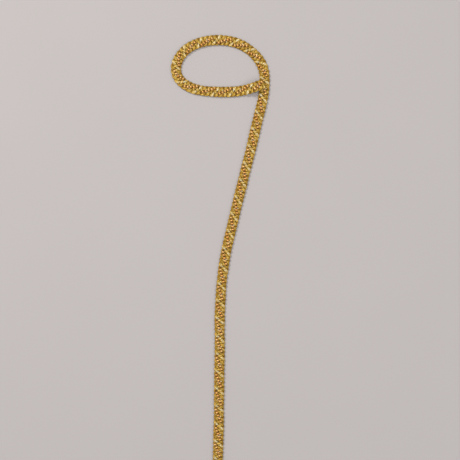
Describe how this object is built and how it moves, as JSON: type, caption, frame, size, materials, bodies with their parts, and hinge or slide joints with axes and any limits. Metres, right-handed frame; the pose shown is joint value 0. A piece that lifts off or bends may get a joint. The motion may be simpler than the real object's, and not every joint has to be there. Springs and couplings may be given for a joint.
{
  "type": "beaded gimp trim",
  "caption": "Narrow band of plaited gold cords with slanted rows of small copper-coloured beads, laid out flat as a neck loop with a long tail.",
  "frame": {"origin": "middle of the laid-out band's outline, at its flat back", "axes": "+Z out of the beaded face, +Y from the tail's end towards the neck loop, +X to the right as seen from above"},
  "size_m": [0.1192, 0.5532, 0.0094],
  "materials": {
    "gold_gimp": "gold metal foil wrapped on cord, satin with bright glints",
    "copper_beads": "copper-coloured metallic coat, glossy"
  },
  "bodies": {
    "root": {"gimp_braid": "gold_gimp"}
  },
  "joints": []
}
